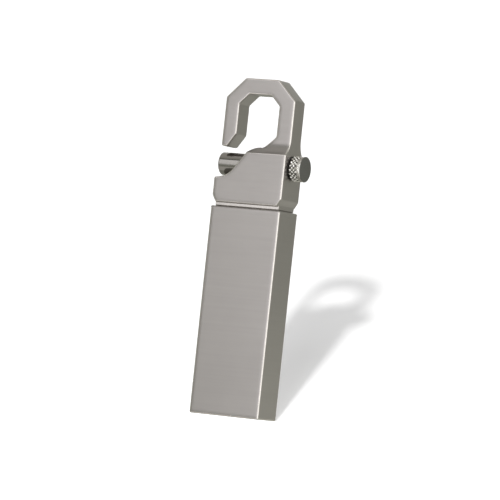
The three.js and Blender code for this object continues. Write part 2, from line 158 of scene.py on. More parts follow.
class MetalFinish(bpy.types.PropertyGroup):
    satin_colour: colour_setting(
        "Satin nickel", "Colour of the satin plate on cap and head", (0.394, 0.371, 0.363))
    satin_roughness: share_setting("Satin roughness", "Roughness of the satin plate", 0.34)
    # The edges' colour is lighter than the satin plate as a painted highlight; their lower roughness is the
    # polish of handling.
    worn_highlight_colour: colour_setting(
        "Worn edge", "Colour of the edges, where handling has polished the plate", (0.63, 0.594, 0.575))
    worn_roughness: share_setting("Edge roughness", "Roughness of the worn edges", 0.22)
    polished_colour: colour_setting("Polished nickel", "Colour of the gate pin", (0.31, 0.293, 0.278))
    # Near white, well above the nickel elsewhere: a painted sheen on the knurl's crests and plain band; its
    # grooves take a tenth of it as painted shade.
    knurl_sheen_colour: colour_setting("Knurl", "Colour of the knob's knurled rim", (0.94, 0.92, 0.89))
    knob_end_colour: colour_setting("Knob end", "Colour of the knob's turned end face", (0.18, 0.178, 0.174))
    spring_colour: colour_setting("Spring wire", "Colour of the drawn spring wire", (0.42, 0.42, 0.41))
    plug_colour: colour_setting("Plug shell", "Colour of the plug's plated steel sheet", (0.56, 0.56, 0.555))
    gold_colour: colour_setting("Contact gold", "Colour of the plated contacts", (0.80, 0.56, 0.20))


class MouldedFinish(bpy.types.PropertyGroup):
    plastic_colour: colour_setting(
        "Black plastic", "Colour of the carrier and the cap's liner", (0.018, 0.018, 0.020))
    tongue_colour: colour_setting(
        "Tongue plastic", "Colour of the insulator in the plug", (0.78, 0.76, 0.70))
    mask_colour: colour_setting("Solder mask", "Colour of the circuit board", (0.012, 0.10, 0.045))
    chip_colour: colour_setting("Chip epoxy", "Colour of the moulded chips", (0.013, 0.013, 0.014))
    ceramic_colour: colour_setting("Ceramic", "Colour of the capacitors' bodies", (0.33, 0.20, 0.09))


class EdgeSizes(bpy.types.PropertyGroup):
    metal_edge: length_setting(
        "Metal edge", "Width of the softened edges of cap and head", 0.26 * MM, 0.4 * MM)
    roll_off: length_setting(
        "Roll-off", "Width of the faint roll-off that polishing leaves beside an edge", 1.2 * MM, 2 * MM)
    moulded_edge: length_setting(
        "Moulded edge", "Width of the rounded edges of the plastic pieces", 0.08 * MM, 0.2 * MM)
    small_edge: length_setting(
        "Small edge", "Width of the rounded edges of contacts and board parts", 0.04 * MM, 0.1 * MM)


class KnobSizes(bpy.types.PropertyGroup):
    knurls_around: bpy.props.IntProperty(
        name="Knurls around", description="Number of knurl points in one row round the knob",
        min=6, max=80, default=18)
    knurl_rows: bpy.props.IntProperty(
        name="Knurl rows", description="Number of staggered rows along the knob", min=2, max=24, default=4)
    rim_band: length_setting(
        "Rim band", "Width of the plain polished band between the knurl and the end face",
        0.85 * MM, 2 * MM, 0.1 * MM)
    knurl_wear: length_setting("Knurl wear", "How deep small dents reach into the knurl", 0.2 * MM, 0.3 * MM)
    knurl_height: length_setting(
        "Knurl height", "How far the knurl points stand above their grooves", 0.2 * MM, 0.4 * MM)
    knurl_tilt: bpy.props.FloatProperty(
        name="Knurl tilt", description="How far the knurl points lean at random, from wear and a rough cut",
        subtype="ANGLE", min=0, max=0.6, default=math.radians(20))
    knurl_flat: share_setting(
        "Knurl flat", "Share of a knurl point that is left flat at its top", 0.5, 0.01, 0.9)
    rim_chamfer: length_setting(
        "Rim chamfer", "Chamfer between the rim band and the end face", 0.03 * MM, 0.5 * MM)


class SpringSizes(bpy.types.PropertyGroup):
    wire: length_setting("Wire", "Diameter of the spring's wire", 0.34 * MM, 1 * MM, 0.1 * MM)
    turns: bpy.props.FloatProperty(
        name="Turns", description="Number of turns, the closed end turns included", min=2, max=20, default=6)
    end_turns: bpy.props.FloatProperty(
        name="End turns", description="Number of closed turns at each end", min=0, max=2, default=1)
    closed_pitch: bpy.props.FloatProperty(
        name="Closed pitch", description="Pitch of a closed turn, in wire diameters",
        min=1, max=2, default=1.15)


class StudioSettings(bpy.types.PropertyGroup):
    camera_azimuth: angle_setting(
        "Camera azimuth", "How far the camera stands towards the knob's side", 27.416)
    camera_elevation: angle_setting(
        "Camera elevation", "Height of the camera as an angle, below the horizon here", -2.0)
    camera_roll: angle_setting(
        "Camera roll", "Tilt of the picture, which leans the drive to the right", 6.045)
    camera_distance: length_setting(
        "Camera distance", "From the camera to the middle of the drive", 0.8, 10, 0.1)
    backdrop_slope: angle_setting(
        "Backdrop slope", "How steeply the sweep rises behind the drive", 35.93)
    key_strength: strength_setting("Key lamp", "Strength of the lamp that casts the shadow", 1.85)
    key_size: angle_setting("Key lamp size", "Angle of the key lamp, which softens the shadow", 6.4)
    room_strength: strength_setting("Room light", "Even light from all round", 0.35)
    sweep_glow: strength_setting("Sweep glow", "White that the sweep adds where the camera sees it", 0.21)
    tent_grey: colour_setting(
        "Tent grey", "Colour of the light tent that the metal reflects", (0.42, 0.43, 0.375))
    tent_top: colour_setting(
        "Tent top", "Colour of the tent overhead, past its lamps", (0.62, 0.61, 0.57))
    card_grey: colour_setting(
        "Low card", "Colour of the card behind the knob's side, which lights that side from below",
        (0.58, 0.59, 0.52))
    front_strength: strength_setting("Front softbox", "Brightness of the softbox at the front left", 1.42)
    side_strength: strength_setting("Side softbox", "Brightness of the softbox at the front right", 1.45)


class FlashDriveSettings(bpy.types.PropertyGroup):
    metal: bpy.props.PointerProperty(type=MetalFinish)
    moulded: bpy.props.PointerProperty(type=MouldedFinish)
    edges: bpy.props.PointerProperty(type=EdgeSizes)
    knob: bpy.props.PointerProperty(type=KnobSizes)
    spring: bpy.props.PointerProperty(type=SpringSizes)
    studio: bpy.props.PointerProperty(type=StudioSettings)


# Node helpers

class Value:
    """An output of a node, which adds, subtracts, multiplies and divides through Math nodes."""

    def __init__(self, tree, socket):
        self.tree = tree
        self.socket = socket

    def __add__(self, other):
        return maths("ADD", self, other)

    def __sub__(self, other):
        return maths("SUBTRACT", self, other)

    def __mul__(self, other):
        return maths("MULTIPLY", self, other)

    def __truediv__(self, other):
        return maths("DIVIDE", self, other)


def maths(operation, first, *others):
    """A Math node on a value and what goes with it, values or numbers."""
    tree = first.tree
    node = tree.nodes.new("ShaderNodeMath")
    node.operation = operation
    for socket, value in zip(node.inputs, (first, *others)):
        feed(tree, socket, value)
    return Value(tree, node.outputs[0])


def feed(tree, socket, value):
    """Links a value or an output to a socket, or sets the socket. A colour may come without its alpha."""
    if isinstance(value, Value):
        tree.links.new(value.socket, socket)
    elif isinstance(value, bpy.types.NodeSocket):
        tree.links.new(value, socket)
    elif socket.type == "RGBA" and len(value) == 3:
        socket.default_value = (*value, 1.0)
    else:
        socket.default_value = value


def add_node(tree, kind, **values):
    """A node whose sockets, named with spaces as underscores, take outputs or values."""
    node = tree.nodes.new(kind)
    for label, value in values.items():
        feed(tree, node.inputs[label.replace("_", " ")], value)
    return node


def new_material(name, roughness, metallic=1.0):
    """A material with its tree and its Principled shader, whose even values are set on the shader itself."""
    material = bpy.data.materials.new(name)
    material.use_nodes = True
    tree = material.node_tree
    shader = tree.nodes["Principled BSDF"]
    shader.inputs["Metallic"].default_value = metallic
    shader.inputs["Roughness"].default_value = roughness
    return material, tree, shader


def bare_material(name):
    """A material of the stage with its tree, which has no shader yet."""
    material = bpy.data.materials.new(name)
    material.use_nodes = True
    tree = material.node_tree
    tree.nodes.remove(tree.nodes["Principled BSDF"])
    return material, tree


def place(tree, scale=(1, 1, 1), centre=(0, 0, 0)):
    """Object coordinates from a centre, scaled."""
    coordinates = tree.nodes.new("ShaderNodeTexCoord")
    shift = tree.nodes.new("ShaderNodeVectorMath")
    shift.operation = "SUBTRACT"
    shift.inputs[1].default_value = centre
    tree.links.new(coordinates.outputs["Object"], shift.inputs[0])
    return add_node(tree, "ShaderNodeMapping", Vector=shift.outputs[0], Scale=scale).outputs["Vector"]


def split(tree, vector):
    """The three parts of a vector."""
    node = tree.nodes.new("ShaderNodeSeparateXYZ")
    tree.links.new(vector, node.inputs[0])
    return [Value(tree, part) for part in node.outputs]


def unit(tree, vector):
    """A vector brought to the length 1."""
    node = tree.nodes.new("ShaderNodeVectorMath")
    node.operation = "NORMALIZE"
    tree.links.new(vector, node.inputs[0])
    return node.outputs[0]


def noise(tree, grains, detail=2.0, roughness=0.5, centre=(0, 0, 0)):
    """Noise of so many grains per metre, one number for all ways or three for X, Y and Z."""
    scale = grains if isinstance(grains, tuple) else (grains,) * 3
    texture = add_node(tree, "ShaderNodeTexNoise", Vector=place(tree, scale, centre), Scale=1.0,
                       Detail=detail, Roughness=roughness)
    return Value(tree, texture.outputs["Fac"])


def remap(tree, value, low, high, to_low, to_high):
    """Carries a value from one range to another."""
    mapped = add_node(tree, "ShaderNodeMapRange", Value=value, From_Min=low, From_Max=high,
                      To_Min=to_low, To_Max=to_high)
    return Value(tree, mapped.outputs["Result"])


def mixed(tree, factor, first, second, kind="RGBA"):
    """A blend of two colours, or of two values of another kind, each a value or an output."""
    node = tree.nodes.new("ShaderNodeMix")
    node.data_type = kind
    feed(tree, node.inputs["Factor"], factor)
    ends = [socket for socket in node.inputs if socket.type == kind and socket.name in ("A", "B")]
    for socket, value in zip(ends, (first, second)):
        feed(tree, socket, value)
    return next(socket for socket in node.outputs if socket.type == kind)


def shaded(colour, factor):
    """A colour made lighter or darker by a factor."""
    return tuple(min(1.0, channel * factor) for channel in colour)


def tint(tree, shader, value, colour, shades, span=(0.35, 0.65)):
    """Paints from one shade of a colour to another as a value crosses a span, where most noise lies.

    It gives back how far the value has crossed.
    """
    level = remap(tree, value, *span, 0.0, 1.0)
    dark, light = (shaded(colour, shade) for shade in shades)
    feed(tree, shader.inputs["Base Color"], mixed(tree, level, dark, light))
    return level


def roughen(tree, shader, value, roughness, span=(0.3, 0.7)):
    """Takes the roughness from one amount to another as a value crosses a span, where noise lies."""
    feed(tree, shader.inputs["Roughness"], remap(tree, value, *span, *roughness))


def bump(tree, shader, height, strength, distance, normal=None):
    """Bump from a height, whose distance is in metres."""
    node = add_node(tree, "ShaderNodeBump", Strength=strength, Distance=distance, Height=height)
    if normal:
        tree.links.new(normal, node.inputs["Normal"])
    tree.links.new(node.outputs["Normal"], shader.inputs["Normal"])


def rolled_normal(tree, reach, share):
    """The surface's normal, turned by a share towards that of an edge rounded over the reach."""
    soft = add_node(tree, "ShaderNodeBevel", Radius=reach)
    soft.samples = 8
    flat = tree.nodes.new("ShaderNodeNewGeometry")
    return unit(tree, mixed(tree, share, flat.outputs["Normal"], soft.outputs["Normal"], "VECTOR"))


def from_gate_axis(tree):
    """How far a place lies from the gate pin's axis."""
    _, across, up = split(tree, place(tree, centre=(0, 0, GATE_AXIS)))
    return maths("SQRT", across * across + up * up)


# Materials

def satin_nickel(name, colour, roughness, grain, roll_off):
    """Satin plate with a fine brushed grain, rolled off a little along its edges.

    The grain is given as lines per metre along X, Y and Z.
    """
    material, tree, shader = new_material(name, roughness)
    brushed = noise(tree, grain, detail=3.0, roughness=0.6)
    streaks = noise(tree, tuple(lines * 0.16 for lines in grain))
    clouds = noise(tree, 130)
    tint(tree, shader, streaks * 0.5 + clouds * 0.5, colour, (0.965, 1.035), span=(0.3, 0.7))
    roughen(tree, shader, brushed, (roughness - 0.05, roughness + 0.05), span=(0.25, 0.75))
    bump(tree, shader, brushed, strength=0.12, distance=0.01 * MM,
         normal=rolled_normal(tree, roll_off, share=0.4))
    return material


def worn_edge_with_painted_highlight(name, colour, roughness):
    """Plate that handling has polished along an edge, lighter in colour than the satin plate as a painted
    highlight.
    """
    material, tree, shader = new_material(name, roughness)
    rubs = noise(tree, 700, detail=4.0)
    tint(tree, shader, rubs, colour, (0.92, 1.06))
    roughen(tree, shader, rubs, (roughness - 0.04, roughness + 0.06))
    return material


def polished_nickel(name, colour):
    """Mirror plate with hairline turning marks round the pin and faint smears."""
    material, tree, shader = new_material(name, 0.13)
    marks = noise(tree, (9000, 300, 300), centre=(0, 0, GATE_AXIS))
    smears = noise(tree, 500, detail=3.0)
    tint(tree, shader, smears, colour, (0.96, 1.0))
    roughen(tree, shader, smears, (0.10, 0.16))
    bump(tree, shader, marks, strength=0.05, distance=0.004 * MM)
    return material


def knurled_nickel(name, colour, depth, wear):
    """Plate on the knurl in a near-white colour as a painted sheen, rougher in its grooves and darkened
    there as painted shade.
    """
    material, tree, shader = new_material(name, 0.16)
    grooves = (KNOB_RADIUS - depth * 0.85, KNOB_RADIUS - depth * 0.45)
    # Below the crests the colour falls to a tenth: painted shade in the grooves.
    crest = tint(tree, shader, from_gate_axis(tree), colour, (0.1, 1.0), span=grooves)
    roughen(tree, shader, crest, (0.38, 0.13), span=(0.0, 1.0))
    bump(tree, shader, noise(tree, 2600), strength=0.8, distance=wear)
    return material


def turned_end(name, colour):
    """A faced-off end with fine rings round the gate's axis."""
    material, tree, shader = new_material(name, 0.42)
    ring_pitch = 0.34 * MM
    wander = noise(tree, 400)
    rings = maths("SINE", from_gate_axis(tree) * (2 * math.pi / ring_pitch) + wander * 14.0)
    level = tint(tree, shader, rings, colour, (0.8, 1.2), span=(-1.0, 1.0))
    roughen(tree, shader, wander, (0.36, 0.48))
    bump(tree, shader, level, strength=0.2, distance=0.004 * MM)
    return material


def drawn_wire(name, colour):
    """Bright drawn wire with a little oil darkening."""
    material, tree, shader = new_material(name, 0.28)
    oil = noise(tree, 900, detail=3.0)
    tint(tree, shader, oil, colour, (0.8, 1.1))
    roughen(tree, shader, oil, (0.2, 0.36))
    return material


def plug_sheet(name, colour):
    """Plated steel sheet with rubbing lines along the way the plug goes in."""
    material, tree, shader = new_material(name, 0.24)
    rolled = noise(tree, (5000, 5000, 90), roughness=0.6)
    rubs = noise(tree, (1500, 1500, 60), detail=3.0)
    tint(tree, shader, rubs, colour, (0.93, 1.05))
    roughen(tree, shader, rolled, (0.18, 0.32), span=(0.25, 0.75))
    bump(tree, shader, rolled, strength=0.08, distance=0.006 * MM)
    return material


def contact_gold(name, colour):
    """Gold flash with the pale wiping marks of use along it."""
    material, tree, shader = new_material(name, 0.22)
    wiping = noise(tree, (4000, 4000, 120))
    tint(tree, shader, wiping, colour, (0.86, 1.06), span=(0.3, 0.7))
    roughen(tree, shader, wiping, (0.16, 0.3))
    return material


def moulded_plastic(name, colour, roughness, texture):
    """Moulded plastic with a fine spark-eroded texture, of so many grains per metre."""
    material, tree, shader = new_material(name, roughness, metallic=0.0)
    grains = noise(tree, texture)
    flow = noise(tree, (160, 160, 60))
    tint(tree, shader, flow, colour, (0.88, 1.1))
    roughen(tree, shader, grains, (roughness - 0.06, roughness + 0.06))
    bump(tree, shader, grains, strength=0.25, distance=0.01 * MM)
    return material


def solder_mask(name, colour):
    """Green solder mask over copper tracks, which show as a paler green, with tinned vias."""
    material, tree, shader = new_material(name, 0.34, metallic=0.0)
    flat = place(tree, (520, 0, 520))
    reaches = []
    for feature in ("F1", "F2"):
        cells = tree.nodes.new("ShaderNodeTexVoronoi")
        cells.feature = feature
        cells.distance = "MANHATTAN"
        for label, value in (("Vector", flat), ("Scale", 1.0), ("Randomness", 0.8)):
            feed(tree, cells.inputs[label], value)
        reaches.append(Value(tree, cells.outputs["Distance"]))
    nearest, next_nearest = reaches
    track = remap(tree, next_nearest - nearest, 0.10, 0.14, 1.0, 0.0)
    via = remap(tree, nearest, 0.10, 0.13, 1.0, 0.0)
    copper = mixed(tree, track, colour, shaded(colour, 1.7))
    feed(tree, shader.inputs["Base Color"], mixed(tree, via, copper, (0.55, 0.55, 0.52)))
    feed(tree, shader.inputs["Metallic"], via)
    relief = noise(tree, 2500, detail=1.0) + track * 1.5
    bump(tree, shader, relief, strength=0.15, distance=0.01 * MM)
    return material


def end_capped(name, body_colour, node, along):
    """A chip component: its body colour with tinned ends along one axis, 0 for X and 2 for Z."""
    low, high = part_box(node)
    half = (high[along] - low[along]) / 2
    material, tree, shader = new_material(name, 0.4, metallic=0.0)
    reach = maths("ABSOLUTE", split(tree, place(tree, centre=(low + high) / 2))[along])
    tinned = remap(tree, reach, half * 0.56, half * 0.6, 0.0, 1.0)
    fired = noise(tree, 3000)
    body = mixed(tree, fired, shaded(body_colour, 0.85), shaded(body_colour, 1.15))
    feed(tree, shader.inputs["Base Color"], mixed(tree, tinned, body, (0.62, 0.62, 0.60)))
    feed(tree, shader.inputs["Metallic"], tinned)
    roughen(tree, shader, fired, (0.32, 0.46))
    return material


# Mesh helpers

def mesh_from(shape, name):
    """Turns a bmesh into a mesh and frees it."""
    mesh = bpy.data.meshes.new(name)
    shape.to_mesh(mesh)
    shape.free()
    return mesh


def set_slots(mesh, materials):
    """Gives a mesh these materials. Its faces are put in their slots afterwards."""
    mesh.materials.clear()
    for material in materials:
        mesh.materials.append(material)


def link_object(name, data):
    """A new object in the scene that holds a mesh, a lamp or a camera."""
    thing = bpy.data.objects.new(name, data)
    bpy.context.scene.collection.objects.link(thing)
    return thing


def link_piece(name, mesh, materials):
    """A new object in the scene that holds a mesh and its materials."""
    mesh.name = name
    set_slots(mesh, materials)
    return link_object(name, mesh)


def bake(piece):
    """Turns a piece with modifiers into a plain mesh."""
    graph = bpy.context.evaluated_depsgraph_get()
    graph.update()
    mesh = bpy.data.meshes.new_from_object(piece.evaluated_get(graph))
    mesh.name = piece.name
    piece.modifiers.clear()
    piece.data = mesh
    return piece


def stand_for(piece, slot, *nodes):
    """The piece takes its nodes' place and rides on their body."""
    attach(piece, frame["nodes"][nodes[0]]["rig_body"])
    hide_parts(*nodes)
    return piece


def is_sharp(joint):
    """Whether an edge is to be rounded."""
    return joint.is_manifold and joint.calc_face_angle() > SHARP


def crossed(side, far):
    """Whether a rounded edge crosses the far end of a side."""
    back = side.other_vert(far).co - far.co
    return any(is_sharp(other) and math.sin(back.angle(other.other_vert(far).co - far.co)) > CROSSING
               for other in far.link_edges if other is not side)


def rounding_share(joint, edge):
    """The share of the full rounding that fits on an edge: less beside a narrow face or a short edge.

    Where two curved walls cross, their facets leave room for none.
    """
    widths = [face.calc_area() / max(side.calc_length() for side in face.edges) for face in joint.link_faces]
    if max(widths) < 2 * edge:
        return 0.0
    start, end = (point.co for point in joint.verts)
    along = (end - start).normalized()
    room = min(max((corner.co - start).cross(along).length for corner in face.verts)
               for face in joint.link_faces)
    if all(crossed(joint, corner) for corner in joint.verts):
        room = min(room, joint.calc_length())
    for near in joint.verts:
        for side in near.link_edges:
            far = side.other_vert(near)
            across = (far.co - near.co).cross(along).length
            if across > CROSSING * side.calc_length() and crossed(side, far):
                room = min(room, across)
    return min(1.0, ROUNDING_ROOM * room / edge)


def finer_copy(node, name, edge, materials, segments, weld):
    """A CAD node's shape with rounded edges, after points closer than the weld are made one.

    Where there is more than one material, the last goes on the edges.
    """
    mesh = frame["nodes"][node].data.copy()
    low, high = ([pick(point.co[i] for point in mesh.vertices) for i in range(3)] for pick in (min, max))
    if "custom_normal" in mesh.attributes:
        mesh.attributes.remove(mesh.attributes["custom_normal"])
    shape = bmesh.new()
    shape.from_mesh(mesh)
    bmesh.ops.remove_doubles(shape, verts=shape.verts, dist=weld)
    bmesh.ops.dissolve_limit(shape, angle_limit=FLAT, verts=shape.verts, edges=shape.edges)
    for face in shape.faces:
        face.smooth = True
        face.material_index = 0
    share = shape.edges.layers.float.new("bevel_weight_edge")
    for joint in shape.edges:
        joint.smooth = True
        if is_sharp(joint):
            joint[share] = rounding_share(joint, edge)
            joint.smooth = joint[share] > 0
    shape.to_mesh(mesh)
    shape.free()
    piece = link_piece(name, mesh, materials)
    rounding = piece.modifiers.new("Edges", "BEVEL")
    rounding.width = edge
    rounding.segments = segments
    rounding.limit_method = "WEIGHT"
    rounding.use_clamp_overlap = False
    rounding.material = len(materials) - 1
    return hold(with_even_normals(piece), low, high)


def hold(piece, low, high):
    """Brings back what the rounding put past a box."""
    for point in piece.data.vertices:
        point.co = [min(max(value, least), most) for value, least, most in zip(point.co, low, high)]
    return piece


def with_even_normals(piece):
    """Leaves the large faces flat in shading, so that only the rounded edges turn the light."""
    evened = piece.modifiers.new("Normals", "WEIGHTED_NORMAL")
    evened.weight = 100
    evened.keep_sharp = True
    return bake(piece)


def dressed(node, name, slot, edge, materials, segments=2, weld=0.0001 * MM):
    """A CAD node's finer copy in the node's place."""
    return stand_for(finer_copy(node, name, edge, materials, segments, weld), slot, node)


def turned_mesh(name, profile, sides, height):
    """A closed solid turned about the X axis at a height, from points of (along, radius, material)."""
    shape = bmesh.new()
    rings = []
    for along, radius, _ in profile:
        if radius == 0:
            rings.append([shape.verts.new((along, 0, height))])
            continue
        angles = [2 * math.pi * i / sides for i in range(sides)]
        rings.append([shape.verts.new((along, radius * math.cos(angle), height + radius * math.sin(angle)))
                      for angle in angles])
    for (first, second), (_, _, material) in zip(zip(rings, rings[1:]), profile):
        for i in range(sides):
            corners = [first[i % len(first)], second[i % len(second)],
                       second[(i + 1) % len(second)], first[(i + 1) % len(first)]]
            face = shape.faces.new(list(dict.fromkeys(corners)))
            face.material_index = material
            face.smooth = True
    bmesh.ops.recalc_face_normals(shape, faces=shape.faces)
    mesh = mesh_from(shape, name)
    mesh.set_sharp_from_angle(angle=TURNED_SHARP)
    return mesh


# Geometry Nodes helpers

def node_tree(name, counts, sizes):
    """A Geometry Nodes tree with counts, sizes and a finish as its inputs, and those inputs as values."""
    tree = bpy.data.node_groups.new(name, "GeometryNodeTree")
    for kind, labels in (("Int", counts), ("Float", sizes), ("Material", ("Finish",))):
        for label in labels:
            tree.interface.new_socket(name=label, in_out="INPUT", socket_type="NodeSocket" + kind)
    tree.interface.new_socket(name="Geometry", in_out="OUTPUT", socket_type="NodeSocketGeometry")
    given = tree.nodes.new("NodeGroupInput").outputs
    return tree, [Value(tree, given[label]) for label in (*counts, *sizes, "Finish")]


def point_index(tree):
    """The number of each point, from 0."""
    return Value(tree, tree.nodes.new("GeometryNodeInputIndex").outputs[0])


def vector_of(tree, *parts):
    """A vector from three outputs or numbers."""
    node = tree.nodes.new("ShaderNodeCombineXYZ")
    for socket, value in zip(node.inputs, parts):
        feed(tree, socket, value)
    return node.outputs[0]


def close_tree(tree, geometry, material):
    """Ends a tree in Realize Instances and Set Material."""
    real = add_node(tree, "GeometryNodeRealizeInstances", Geometry=geometry).outputs["Geometry"]
    painted = add_node(tree, "GeometryNodeSetMaterial", Geometry=real, Material=material)
    tree.links.new(painted.outputs["Geometry"], tree.nodes.new("NodeGroupOutput").inputs["Geometry"])


def grown_piece(name, tree, values, material):
    """A piece that a tree makes, as a plain mesh. The values go to the tree's inputs by name."""
    piece = link_piece(name, bpy.data.meshes.new(name), [material])
    modifier = piece.modifiers.new(name, "NODES")
    modifier.node_group = tree
    given = {**values, "Finish": material}
    for socket in tree.interface.items_tree:
        if socket.in_out == "INPUT":
            modifier[socket.identifier] = given[socket.name]
    return bake(piece)


def knurl_tree():
    """Staggered rows of diamond points round the gate's axis."""
    tree, given = node_tree("Diamond knurl", ("Around", "Rows", "Seed"),
                            ("Radius", "Height", "Flat", "Start", "End", "Axis", "Tilt"))
    around, rows, seed, radius, height, flat, start, end, axis, tilt, finish = given
    index = point_index(tree)
    row = maths("FLOOR", index / around)
    step = maths("MODULO", index, around) + maths("MODULO", row, 2.0) * 0.5
    angle = step * (2 * math.pi) / around
    pitch = (end - start) / (rows + 1.0)
    along = start + (row + 1.0) * pitch
    across = maths("SINE", angle) * (radius * -1.0)
    up = axis + maths("COSINE", angle) * radius
    points = add_node(tree, "GeometryNodePoints", Count=around * rows)
    placed = add_node(tree, "GeometryNodeSetPosition", Geometry=points.outputs[0],
                      Position=vector_of(tree, along, across, up))
    cone = add_node(tree, "GeometryNodeMeshCone", Vertices=4, Radius_Top=flat, Radius_Bottom=1.0, Depth=1.0)
    turn = add_node(tree, "FunctionNodeEulerToRotation", Euler=vector_of(tree, angle, 0.0, 0.0))
    least = tilt * -1.0
    leans = []
    for way in range(3):
        chance = add_node(tree, "FunctionNodeRandomValue", Min=least, Max=tilt, Seed=seed + float(way))
        leans.append(chance.outputs["Value"])
    lean = add_node(tree, "FunctionNodeEulerToRotation", Euler=vector_of(tree, *leans))
    uneven = add_node(tree, "FunctionNodeRotateRotation", Rotation=turn.outputs[0],
                      Rotate_By=lean.outputs[0])
    uneven.rotation_space = "LOCAL"
    width = radius * math.pi / around
    studs = add_node(tree, "GeometryNodeInstanceOnPoints", Points=placed.outputs[0],
                     Instance=cone.outputs["Mesh"], Rotation=uneven.outputs[0],
                     Scale=vector_of(tree, pitch, width, height))
    close_tree(tree, studs.outputs[0], finish)
    return tree


def spring_tree():
    """A round wire along a helix with closed end turns, round the gate's axis."""
    tree, given = node_tree("Coil spring", ("Steps",),
                            ("Start", "End", "Radius", "Wire", "Turns", "End turns", "Closed pitch", "Axis"))
    steps, start, end, radius, wire, turns, end_turns, wires_apart, axis, finish = given
    turn = point_index(tree) / steps * turns
    both_ends = end_turns * 2.0
    open_turns = turns - both_ends
    closed_pitch = wire * wires_apart
    open_pitch = (end - start - both_ends * closed_pitch) / open_turns
    opened = maths("MINIMUM", maths("MAXIMUM", turn - end_turns, 0.0), open_turns)
    along = start + (opened * open_pitch + (turn - opened) * closed_pitch)
    angle = turn * (2 * math.pi)
    across = maths("COSINE", angle) * radius
    up = axis + maths("SINE", angle) * radius
    line = add_node(tree, "GeometryNodeMeshLine", Count=steps + 1.0)
    curve = add_node(tree, "GeometryNodeMeshToCurve", Mesh=line.outputs[0])
    helix = add_node(tree, "GeometryNodeSetPosition", Geometry=curve.outputs[0],
                     Position=vector_of(tree, along, across, up))
    section = add_node(tree, "GeometryNodeCurvePrimitiveCircle", Resolution=WIRE_SIDES, Radius=wire * 0.5)
    coil = add_node(tree, "GeometryNodeCurveToMesh", Curve=helix.outputs[0],
                    Profile_Curve=section.outputs["Curve"], Fill_Caps=True)
    close_tree(tree, coil.outputs[0], finish)
    return tree


# Pieces

class FLASHDRIVE_OT_cap(bpy.types.Operator):
    """Finish the cap's shell and its moulded liner"""
    bl_idname = "flashdrive.cap"
    bl_label = "Cap"

    def execute(self, context):
        drive = context.scene.flash_drive
        metal = drive.metal
        sizes = drive.edges
        satin = satin_nickel("cap_satin", metal.satin_colour, metal.satin_roughness, grain=(150, 150, 9000),
                             roll_off=sizes.roll_off)
        edge = worn_edge_with_painted_highlight("cap_edge_highlight", metal.worn_highlight_colour, metal.worn_roughness)
        dressed("cap_shell", "cap_body", "satin_nickel", sizes.metal_edge, [satin, edge],
                segments=4)
        plastic = moulded_plastic("liner_plastic", drive.moulded.plastic_colour, roughness=0.5, texture=4500)
        dressed("cap_liner", "cap_sleeve", "black_plastic", sizes.moulded_edge, [plastic])
        return {"FINISHED"}


class FLASHDRIVE_OT_head(bpy.types.Operator):
    """Finish the casting with the hook"""
    bl_idname = "flashdrive.head"
    bl_label = "Hook and head"

    def execute(self, context):
        drive = context.scene.flash_drive
        metal = drive.metal
        satin = satin_nickel("head_satin", metal.satin_colour, metal.satin_roughness, grain=(900, 150, 9000),
                             roll_off=drive.edges.roll_off)
        # The neck's colour is the edges' colour a little darker, well above the satin plate: a painted
        # highlight on the recessed neck.
        neck = worn_edge_with_painted_highlight("neck_turned_highlight", shaded(metal.worn_highlight_colour, 0.91), metal.worn_roughness)
        edge = worn_edge_with_painted_highlight("head_edge_highlight", metal.worn_highlight_colour, metal.worn_roughness)
        head = dressed("hook_head", "hook_casting", "satin_nickel", drive.edges.metal_edge,
                       [satin, neck, edge], segments=4, weld=0.05 * MM)
        self.put_neck_and_edge_highlights_front_and_back(head)
        return {"FINISHED"}

    def put_neck_and_edge_highlights_front_and_back(self, head):
        """Puts the turned finish, with a painted highlight, on the neck's front and back; side-wall edges
        stay satin.
        """
        for face in head.data.polygons:
            towards_front = abs(face.normal.y)
            if face.center.z < NECK_TOP and towards_front > 0.7:
                face.material_index = 1
            elif towards_front < 0.2:
                face.material_index = 0


class FLASHDRIVE_OT_pin(bpy.types.Operator):
    """Finish the gate pin: the polished plunger and its stem"""
    bl_idname = "flashdrive.pin"
    bl_label = "Gate pin"

    def execute(self, context):
        metal = context.scene.flash_drive.metal
        chamfer = 0.15 * MM
        points = [vertex.co for vertex in frame["nodes"]["gate_plunger"].data.vertices]
        shoulder = max(point.x for point in points if abs(point.z - GATE_AXIS) > PIN_RADIUS * 0.9)
        stem = max(point.z - GATE_AXIS for point in points if point.x > shoulder + MM)
        nose = [(PIN_LOW.x + chamfer * along, PIN_RADIUS - chamfer * inset, 0)
                for along, inset in ((0, 2), (0.3, 1.2), (0.8, 0.5), (1.5, 0.1), (2, 0))]
        profile = [
            (PIN_LOW.x, 0, 0),
            *nose,
            (shoulder - chamfer / 2, PIN_RADIUS, 0),
            (shoulder, PIN_RADIUS - chamfer / 2, 0),
            (shoulder, stem, 0),
            (PIN_HIGH.x - chamfer / 2, stem, 0),
            (PIN_HIGH.x, stem - chamfer / 2, 0),
            (PIN_HIGH.x, 0, 0),
        ]
        polished = polished_nickel("pin_polish", metal.polished_colour)
        shape = turned_mesh("gate_pin_turned", profile, PIN_SIDES, GATE_AXIS)
        pin = with_even_normals(link_piece("gate_pin_turned", shape, [polished]))
        stand_for(pin, "polished_nickel", "gate_plunger")
        return {"FINISHED"}


